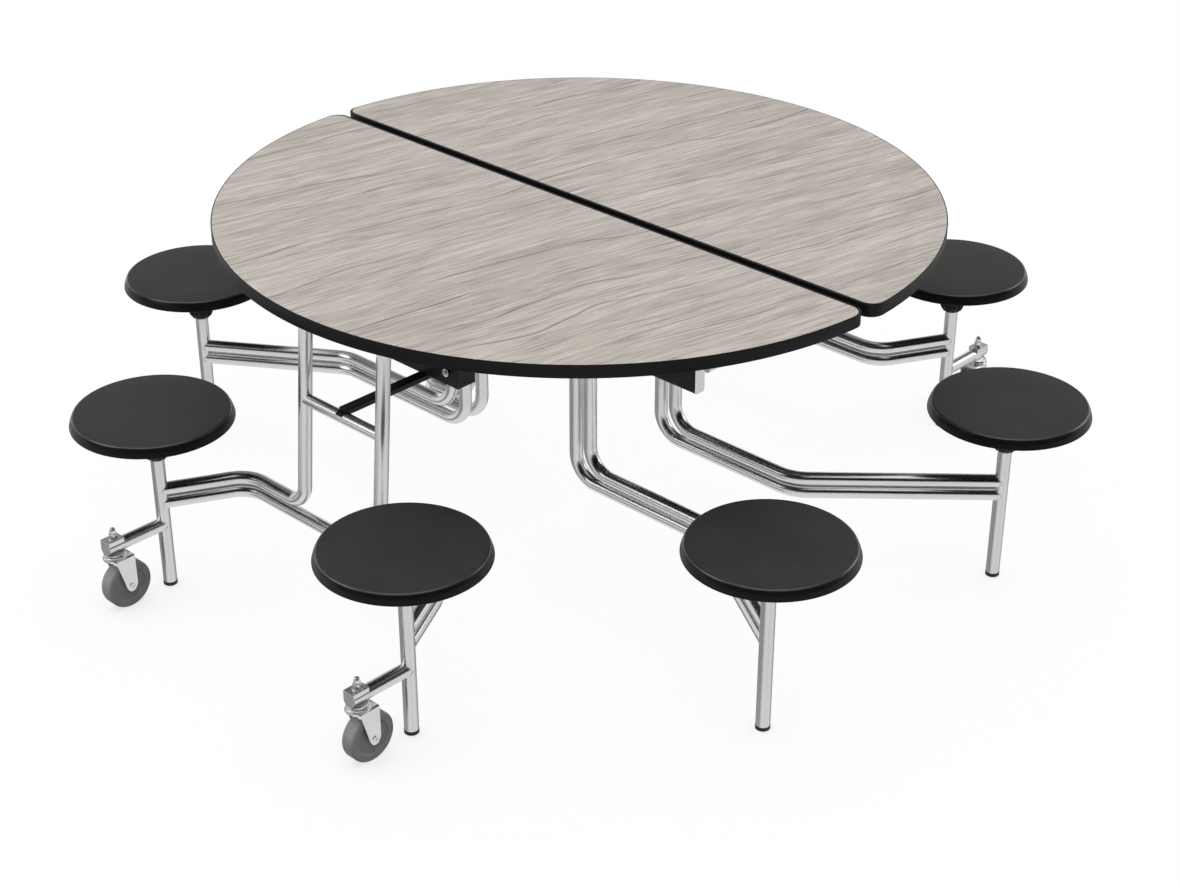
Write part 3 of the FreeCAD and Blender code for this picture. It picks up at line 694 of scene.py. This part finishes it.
def crossbarMiddle(part):
    low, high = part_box(f"{part}_crossbar")
    return (low.x + high.x) / 2, (low.z + high.z) / 2


legs = {"foot": 0.684, "corner": 0.290, "half": 0.115, "head": (0.650, 0.634), "pivot": (0.640, 0.666),
        "bends": [0.070, 0.042, 0.060], "linkBends": [0.070, 0.070]}
outrigger = {"level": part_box("near_outriggers")[0].z + tube["radius"], "reach": 0.144}
# each arm's rise at x, its corner's y and the middle of its rises' y
arms = {1: (-0.184, 0.560, 0.190), 4: (-0.178, -0.530, -0.182), 5: (0.086, -0.530, -0.182),
        8: (-0.134, 0.338, 0.190)}
arm = {"step": 0.020, "top": 0.6515, "bends": [0.090, 0.058]}
levels = (tube["upper"], tube["lower"])
for part, side in sideOf.items():
    seams = []
    for x, y in (stools[number] for number in frames[part]):
        foot = (side * legs["foot"], math.copysign(legs["corner"], y))
        seams += [*(((x, y, level), foot) for level in levels), ((x, y, outrigger["level"]), (x + side, y))]
    makeBeads(part, seams)
for part, numbers in frames.items():
    body = bodyOfFrame[part]
    makeTubes(f"{part}_posts", [[(*stools[n], glide["tall"] - 0.001), (*stools[n], tube["postTop"])]
                                for n in numbers], body, [f"{part}_stool_posts"])
    if part == "centre":
        continue
    side = sideOf[part]
    x, foot, corner, half = side * outX, side * legs["foot"], legs["corner"], legs["half"]
    (headX, headZ), (pivotX, pivotZ) = legs["head"], legs["pivot"]
    upper, lower = levels
    makeTubes(f"{part}_legs_bent", [bentPath(
        [(x, s * outY, upper), (foot, s * corner, upper), (foot, s * half, upper),
         (side * headX, s * half, headZ), (side * pivotX, s * half, pivotZ)], legs["bends"])
        for s in (1, -1)], body, [f"{part}_leg_tubes"])
    makeTubes(f"{part}_link_bent", [bentPath(
        [(x, outY, lower), (foot, corner, lower), (foot, -corner, lower), (x, -outY, lower)],
        legs["linkBends"])], body, [f"{part}_link_tube"])
    barX, barZ = crossbarMiddle(part)
    makeTubes(f"{part}_crossbar_tube", [[(barX, s * half, barZ) for s in (-1, 1)]], body,
              [f"{part}_crossbar"], tube["cross"])
    makeTubes(f"{part}_outrigger_tubes", [[
        (stools[n][0] + side * reach, stools[n][1], outrigger["level"]) for reach in (0, outrigger["reach"])]
        for n in numbers], body, [f"{part}_outriggers"])
for number, (riseX, cornerY, riseY) in arms.items():
    step = math.copysign(arm["step"], riseY)
    makeTubes(f"arm_{number}", [bentPath(
        [(*stools[number], level), (riseX, cornerY, level), (riseX, rise, level), (riseX, rise, arm["top"])],
        arm["bends"]) for level, rise in zip(levels, (riseY + step, riseY - step))],
              "centre_frame", [f"inner_arm_{number}"])
makeBeads("centre", [((*stools[n], level), arms[n][:2]) for n in arms for level in levels])
print("tubes made")

top = {"radius": 0.762, "thick": 0.027, "halfGap": 0.0085, "corner": 0.030, "high": 0.722, "lip": 0.0026,
       "band": 0.0054, "chordLip": 0.0042, "soft": 0.0010, "lap": 0.0002, "sheet": 0.0012, "sunk": 0.0001,
       "arcSteps": 150, "cornerSteps": 8, "chordSteps": 24}


def halfOutline(side, inset, extra=0):
    # half round outline with its two corners rounded, inset all round and more on the straight side
    radius, chord, corner = top["radius"] - inset, top["halfGap"] + inset + extra, top["corner"] - inset
    centreX = chord + corner
    centreY = math.sqrt((radius - corner) ** 2 - centreX ** 2)
    turn = math.atan2(centreY, centreX)
    arcSteps, cornerSteps, chordSteps = top["arcSteps"], top["cornerSteps"], top["chordSteps"]
    path = []
    for step in range(arcSteps + 1):
        angle = -turn + 2 * turn * step / arcSteps
        path.append((radius * math.cos(angle), radius * math.sin(angle)))
    for step in range(1, cornerSteps + 1):
        angle = turn + (math.pi - turn) * step / cornerSteps
        path.append((centreX + corner * math.cos(angle), centreY + corner * math.sin(angle)))
    for step in range(1, chordSteps):
        path.append((chord, centreY * (1 - 2 * step / chordSteps)))
    for step in range(cornerSteps):
        angle = math.pi + (math.pi - turn) * step / cornerSteps
        path.append((centreX + corner * math.cos(angle), -centreY + corner * math.sin(angle)))
    return [(side * x, y) for x, y in path]


# the strip along the split, from and to in x, and how far its corners run past the arc's
splitLip = {"from": 0.0012, "to": 0.0098, "past": (0.009, 0.012), "low": 0.006, "high": 0.00025}
# clamps stand at these x, in rows of y; each has four screws round it
screw = {"rows": {0.640: (-0.050, 0.050), 0.180: (-0.075, 0.025, 0.125)}, "x": 0.023, "y": 0.012,
         "high": 0.6920, "shape": {"Radius": 0.0034, "Height": 0.0024}}
for part, side in sideOf.items():
    body = f"{part}_top"
    middle = top["high"] - top["thick"] / 2
    inner, wide = (top["lip"] + top["band"]) / 2, top["band"] - top["lip"] + top["lap"]
    for name, inset, wide, tall, drop, stands in (
            ("rim", top["lip"] / 2, top["lip"], top["thick"], 0, [f"{part}_edge_band"]),
            ("rim_core", inner, wide, top["thick"] - top["sheet"], top["sheet"] / 2, [])):
        path = [(x, y, middle - drop) for x, y in halfOutline(side, inset)]
        grown("band", f"{part}_{name}", *chained([path], True),
              {"Width": wide, "Height": tall, "Corner": top["soft"]}, body, "edgeBlack", stands)
    form = Form()
    form.prism(halfOutline(side, top["lip"] - top["lap"], top["chordLip"]), top["high"] - top["sheet"],
               top["high"] - top["sunk"])
    form.piece(f"{part}_laminate", body, ["laminate"], [f"{part}_top_laminate"])
    reach = math.sqrt((top["radius"] - top["corner"]) ** 2 - (top["halfGap"] + top["corner"]) ** 2)
    start, finish = sorted(side * (top["halfGap"] + splitLip[edge]) for edge in ("from", "to"))
    less, more = (reach + past for past in splitLip["past"])
    form = Form()
    form.prism([(start, -less), (finish, -more), (finish, more), (start, less)][::side],
               top["high"] - splitLip["low"], top["high"] - splitLip["high"])
    form.piece(f"{part}_chord_lip", body, ["edgeBlack"])
    screws = [(side * x + dx, y + dy, screw["high"]) for x, row in screw["rows"].items() for y in row
              for dx in (-screw["x"], screw["x"]) for dy in (-screw["y"], screw["y"])]
    grown("screws", f"{part}_saddle_screws", screws, [], screw["shape"], body, "zincFitting")
    softened(f"{part}_hinge_saddles", body, "zincFitting", 0.0008)
print("half tops made")

# race, rivet and tyre are profiles of (radius, along): the race from the roof up, and half of the tyre
caster = {
    "stem": 0.125, "trail": 0.018, "level": 0.147, "roof": 0.123, "round": 0.026, "wheel": 0.052,
    "gap": 0.019, "outer": 0.022, "pin": 0.004,
    "race": [(0.0065, -0.0005), (0.0236, -0.0005), (0.0243, 0.0010), (0.0236, 0.0028), (0.0212, 0.0034),
             (0.0212, 0.0044), (0.0229, 0.0048), (0.0236, 0.0062), (0.0229, 0.0079), (0.0065, 0.0079)],
    "rivet": [(0, 0), (0.0068, 0), (0.0070, 0.0006), (0.0066, 0.0018), (0.0050, 0.0026), (0.0034, 0.0027),
              (0.0030, 0.0010), (0, 0.0009)],
    "tyre": [(0.0041, 0.0160), (0.0108, 0.0160), (0.0122, 0.0128), (0.0345, 0.0124), (0.0362, 0.0150),
             (0.0375, 0.0158), (0.0478, 0.0158), (0.0520, 0.0128)],
    "corners": [0, 0.0006, 0.001, 0.001, 0.0015, 0.0008, 0.002, 0.004],
}
crossways = Matrix(((0, 0, 1, 0), (1, 0, 0, 0), (0, 1, 0, 0), (0, 0, 0, 1)))
upright = Matrix.Rotation(math.pi / 2, 4, "X")


def forkMesh(place):
    # what the fork's side, front and plan have in common
    roof, trail, outer, gap = caster["roof"], caster["trail"], caster["outer"], caster["gap"]
    side = rounded([(-0.026, roof), (-0.026, roof - 0.006), (-0.012, roof - 0.010), (trail - 0.012, 0.050),
                    (trail - 0.006, 0.0395), (trail + 0.006, 0.0395), (trail + 0.014, 0.052),
                    (trail + 0.014, roof)], [0, 0.002, 0.008, 0.02, 0.008, 0.008, 0.012, 0.002], 5, True)
    front = rounded([(-outer, 0.02), (-gap, 0.02), (-gap, roof - 0.004), (gap, roof - 0.004), (gap, 0.02),
                     (outer, 0.02), (outer, roof), (-outer, roof)], [0, 0, 0.002, 0.002, 0, 0, 0.005, 0.005],
                    5, True)
    plan = [(trail + 0.016, -0.03), (trail + 0.016, 0.03)] + [
        (caster["round"] * math.cos(angle), caster["round"] * math.sin(angle))
        for angle in [math.pi / 2 + math.pi * step / 32 for step in range(33)]]
    return smoothed(combined(flatMesh(side, -0.03, 0.03, place @ upright),
                             flatMesh(front, -0.03, 0.05, place @ crossways),
                             flatMesh(plan, 0.01, 0.13, place)), 30)


def makeCaster(number):
    x, y = stools[number]
    side = 1 if x > 0 else -1
    stemX, body, outer = x + side * caster["stem"], f"caster_{number}", caster["outer"]
    axle = (stemX - side * caster["trail"], y, caster["wheel"])
    place = Matrix.Translation((stemX, y, 0)) @ Matrix.Rotation(0 if side < 0 else math.pi, 4, "Z")
    bevelled(newPiece(f"fork_{number}", forkMesh(place), body, ["zincFitting"], [f"caster_fork_{number}"]),
             0.0005, 40)
    form = Form()
    form.turned(caster["race"], (stemX, y, caster["roof"]), steps=64, ring=True)
    form.turned([(0, -outer), (caster["pin"], -outer), (caster["pin"], outer), (0, outer)], axle, (0, 1, 0),
                24)
    for back in (1, -1):
        form.turned(caster["rivet"], (axle[0], y + back * (outer - 0.0002), axle[2]), (0, back, 0), 32)
    form.piece(f"caster_race_{number}", body, ["zincFitting"], sharp=30)
    half, radii = caster["tyre"], caster["corners"]
    form = Form()
    form.turned(rounded(half + [(out, -along) for out, along in reversed(half)], radii + radii[::-1], 5),
                axle, (0, 1, 0), 112, ring=True)
    form.piece(f"tyre_{number}", f"wheel_{number}", ["wheelGrey"], [f"caster_wheel_{number}"], 40)


# stem, washer, seat and stud are profiles of (radius, height)
clamp = {
    "past": 0.003, "long": 0.040, "half": 0.014, "corner": 0.0025, "low": 0.1555, "high": 0.1650,
    "bore": 0.01432, "boreHalf": 0.05, "nut": 0.0085, "nutLow": 0.1668, "nutHigh": 0.1768,
    "stem": [(0, 0.120), (0.006, 0.120), (0.006, 0.165), (0, 0.165)],
    "washer": [(0, 0.1313), (0.0215, 0.1313), (0.0220, 0.1318), (0.0220, 0.1322), (0.0210, 0.1330),
               (0, 0.1330)],
    "seat": [(0, 0.1648), (0.0104, 0.1648), (0.0106, 0.1662), (0.0102, 0.1668), (0, 0.1668)],
    "stud": [(0, 0.173), (0.0074, 0.173), (0.0072, 0.1775), (0.0066, 0.1788), (0.0066, 0.1845),
             (0.0046, 0.1896), (0, 0.1899)],
    "studCorners": [0, 0, 0.001, 0.001, 0.006, 0.006, 0],
}
plug = {"round": 0.0141, "half": 0.0139, "high": 0.0178, "sunk": 0.0002, "proud": 0.0036}


def makeClamps(part, side):
    level, end, body = caster["level"], outrigger["reach"], f"{part}_legs"
    bore, boreHalf, half = clamp["bore"], clamp["boreHalf"], clamp["half"]
    blocks, bores, nuts, plugs = Form(), Form(), Form(), Form()
    for x, y in (stools[number] for number in frames[part]):
        stemX, endX = x + side * caster["stem"], x + side * (end + clamp["past"])
        low, high = sorted((endX, endX - side * clamp["long"]))
        blocks.prism(rounded([(low, y - half), (high, y - half), (high, y + half), (low, y + half)],
                             clamp["corner"], 4, True), clamp["low"], clamp["high"])
        bores.turned([(0, -boreHalf), (bore, -boreHalf), (bore, boreHalf), (0, boreHalf)], (stemX, y, level),
                     (1, 0, 0), 96)
        for name, steps in (("stem", 24), ("washer", 64), ("seat", 40)):
            nuts.turned(clamp[name], (stemX, y, 0), steps=steps)
        angles = [math.pi * (k / 3 + 0.1) for k in range(6)]
        nuts.prism([(stemX + clamp["nut"] * math.cos(angle), y + clamp["nut"] * math.sin(angle))
                    for angle in angles], clamp["nutLow"], clamp["nutHigh"])
        nuts.turned(rounded(clamp["stud"], clamp["studCorners"]), (stemX, y, 0), steps=32)
        angles = [math.pi * (1 + step / 20) for step in range(21)]
        outline = [(plug["round"] * math.cos(angle), plug["round"] * math.sin(angle)) for angle in angles]
        outline += [(plug["half"], plug["high"]), (-plug["half"], plug["high"])]
        plugs.prism(outline, *sorted((side * (end - plug["sunk"]), side * (end + plug["proud"]))),
                    Matrix.Translation((x, y, level)) @ crossways)
    block = smoothed(combined(blocks.meshOf("blocks"), bores.meshOf("bores"), operation="DIFFERENCE"))
    bevelled(newPiece(f"{part}_clamp_blocks", block, body, ["zincFitting"], [f"{part}_caster_stems"]),
             0.0006)
    bevelled(nuts.piece(f"{part}_caster_nuts", body, ["zincFitting"]), 0.0003, 40)
    bevelled(plugs.piece(f"{part}_end_plugs", body, ["plugGrey"]), 0.0009, 25)


for number in frames["near"] + frames["far"]:
    makeCaster(number)
for part, side in sideOf.items():
    makeClamps(part, side)
print("casters made")

bolt = {"spots": (-0.075, 0.075), "high": 0.513, "sunk": 0.0005,
        "profile": [(0, 0), (0.0080, 0), (0.0080, 0.0012), (0.0068, 0.0016), (0.0066, 0.0040),
                    (0.0054, 0.0052), (0.0034, 0.0054), (0.0030, 0.0046), (0, 0.0046)]}
clip = {"outer": 0.0143, "inner": 0.0128, "half": 0.009}
for part, side in sideOf.items():
    body = f"{part}_legs"
    softened(f"{part}_support_strut", body, "blackFrame", 0.0025)
    softened(f"{part}_support_bracket", body, "blackFrame", 0.0026)
    form = Form()
    low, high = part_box(f"{part}_support_bracket")
    face = side * (max(abs(low.x), abs(high.x)) - bolt["sunk"])
    for y in bolt["spots"]:
        form.turned(bolt["profile"], (face, y, bolt["high"]), (side, 0, 0), 24)
    form.piece(f"{part}_bracket_bolts", body, ["zincFitting"])
    barX, barZ = crossbarMiddle(part)
    angles = [math.radians(60 + 8 * step) for step in range(12)]
    arcs = [[(barX + reach * math.cos(angle), barZ + reach * math.sin(angle)) for angle in angles]
            for reach in (clip["outer"], clip["inner"])]
    form = Form()
    form.prism(arcs[0] + arcs[1][::-1], -clip["half"], clip["half"], upright)
    bevelled(form.piece(f"{part}_strut_clip", body, ["blackFrame"]), 0.0005)
spine = {"half": 0.014, "low": 0.393, "high": 0.497, "long": 0.343, "cap": 0.0024, "corner": 0.006}
half, low, high, long = spine["half"], spine["low"], spine["high"], spine["long"]
outline = rounded([(-half, low), (half, low), (half, high), (-half, high)], spine["corner"], 6, True)
newPiece("spine_beam", flatMesh(outline, -long, long, upright), "centre_frame", ["blackFrame"],
         ["centre_spine"])
form = Form()
for end in (-1, 1):
    form.prism(outline, *sorted((end * (long - 0.0002), end * (long + spine["cap"]))), upright)
bevelled(form.piece("spine_ends", "centre_frame", ["zincFitting"], ["centre_spine_caps"]), 0.0008)
softened("centre_cross_channels", "centre_frame", "blackFrame", 0.0012)
print("supports made")

ground = {"half": 14, "level": -0.0004, "lit": grey(0.93), "spread": grey(0.22), "shade": grey(0.80),
          "shadeReach": 0.28}
floorMesh = bpy.data.meshes.new("floor")
floorMesh.from_pydata([(x * ground["half"], y * ground["half"], ground["level"])
                       for x, y in ((-1, -1), (1, -1), (1, 1), (-1, 1))], [], [(0, 1, 2, 3)])
newObject("floor", floorMesh)
paper = bpy.data.materials.new("paperFloor")
sheet = emptySheet(paper)
rays = sheet.add("ShaderNodeLightPath", output="Is Camera Ray")
glossy, spread = rays.other("Is Glossy Ray"), rays.other("Is Diffuse Ray")
lit = sheet.add("ShaderNodeBsdfDiffuse", {}, {"Color": ground["lit"]})
shade = sheet.add("ShaderNodeBsdfDiffuse", {}, {"Color": ground["spread"]})
# painted shadow: for camera rays the floor's white is darkened towards grey 0.80 where ambient occlusion
# finds the object near, a contact shadow painted into the emission
openness = sheet.add("ShaderNodeAmbientOcclusion", {"samples": 8}, {"Distance": ground["shadeReach"]}, "AO")
paintedContactShadow = sheet.blend(sheet.band(openness, 0.25, 0.97), ground["shade"], grey(1))
plain = sheet.add("ShaderNodeEmission", {}, {"Color": paintedContactShadow, "Strength": 1.0})
clear = sheet.add("ShaderNodeBsdfTransparent")
bounced = sheet.add("ShaderNodeMixShader", {}, {0: spread, 1: lit, 2: shade})
seen = sheet.add("ShaderNodeMixShader", {}, {0: rays * 0.97, 1: bounced, 2: plain})
behind = sheet.add("ShaderNodeNewGeometry", output="Backfacing")
mixed = sheet.add("ShaderNodeMixShader", {}, {0: glossy.sum("MAXIMUM", glossy, behind), 1: seen, 2: clear})
sheet.add("ShaderNodeOutputMaterial", {}, {"Surface": mixed})
floorMesh.materials.append(paper)

world = bpy.data.worlds.new("studio")
bpy.context.scene.world = world
world.cycles.sampling_method = "NONE"
sheet = emptySheet(world)
rays = sheet.add("ShaderNodeLightPath", output="Is Camera Ray")
glossy = rays.other("Is Glossy Ray")
direction = sheet.add("ShaderNodeTexCoord", output="Generated")
parts = sheet.add("ShaderNodeSeparateXYZ", {}, {"Vector": direction})
x, y, z = (parts.other(axis) for axis in "XYZ")
ahead = x * 0.721 + y * 0.693
aside = x * 0.693 - y * 0.721


def ramp(value, *stops):
    return sheet.add("ShaderNodeValToRGB", {"stops": stops}, {"Fac": value}, "Color")


# what the metal shows: a light floor with darker wedges, a dark room behind the camera and a light ceiling
wedge = aside.sum("ARCTAN2", aside, ahead * -1) / (2 * math.pi) + 0.5
below = ramp(wedge, (0, 0.2), (0.1, 0.27), (0.27, 0.23), (0.31, 0.1), (0.35, 0.3), (0.40, 0.66), (0.50, 0.7),
             (0.58, 0.62), (0.70, 0.72), (0.77, 0.64), (0.84, 0.36), (0.94, 0.18), (1, 0.2))
far = ramp(z, (0, 0.9), (0.3, 0.75), (0.45, 0.2), (0.62, 0.12), (0.8, 0.28), (0.93, 0.4), (1, 0.85))
near = ramp(z, (0, 0.4), (0.03, 0), (0.72, 0), (0.80, 0.6), (0.86, 1), (1, 1))
above = sheet.blend(sheet.band(ahead, -0.12, 0.12), near, far)
# upright tubes mirror one height, where the wedges stay; level tubes mirror a plain light floor
below = sheet.blend(sheet.band(abs(z + 0.505), 0.1, 0.17), below, grey(0.74))
shown = sheet.blend(sheet.band(z, -0.03, 0.03), below, above)
lighting = ramp(z, (0, 0.025), (0.3, 0.04), (0.6, 0.14), (0.85, 0.46), (1, 0.92)) * 2.8
tone = sheet.blend(glossy, lighting, shown)
tone = sheet.blend(rays, tone, grey(1))
back = sheet.add("ShaderNodeBackground", {}, {"Color": tone, "Strength": 1.0})
sheet.add("ShaderNodeOutputWorld", {}, {"Surface": back})

lamps = {"leftSoftbox": {"place": (-3.3, 1.6, 2.4), "size": 2.4, "power": 25},
         "rightSoftbox": {"place": (3.6, -1.9, 2.2), "size": 2.0, "power": 17}}
aim = Vector((0, 0, 0.3))
for name, row in lamps.items():
    lamp = bpy.data.lights.new(name, "AREA")
    lamp.shape, lamp.size, lamp.energy = "DISK", row["size"], row["power"]
    holder = newObject(name, lamp)
    holder.location = row["place"]
    holder.rotation_euler = (Vector(row["place"]) - aim).to_track_quat("Z", "Y").to_euler()

view = {"place": (-3.035, -2.948, 2.480), "down": 28.94, "turn": 46.13, "lens": 66.53}
camera = bpy.data.cameras.new("camera")
camera.lens, camera.sensor_width, camera.clip_start = view["lens"], 36, 0.05
holder = newObject("camera", camera)
holder.location = view["place"]
holder.rotation_euler = (math.radians(90 - view["down"]), 0, -math.radians(view["turn"]))
bpy.context.scene.camera = holder
bpy.context.scene.view_settings.view_transform = "Standard"
print("stage set")
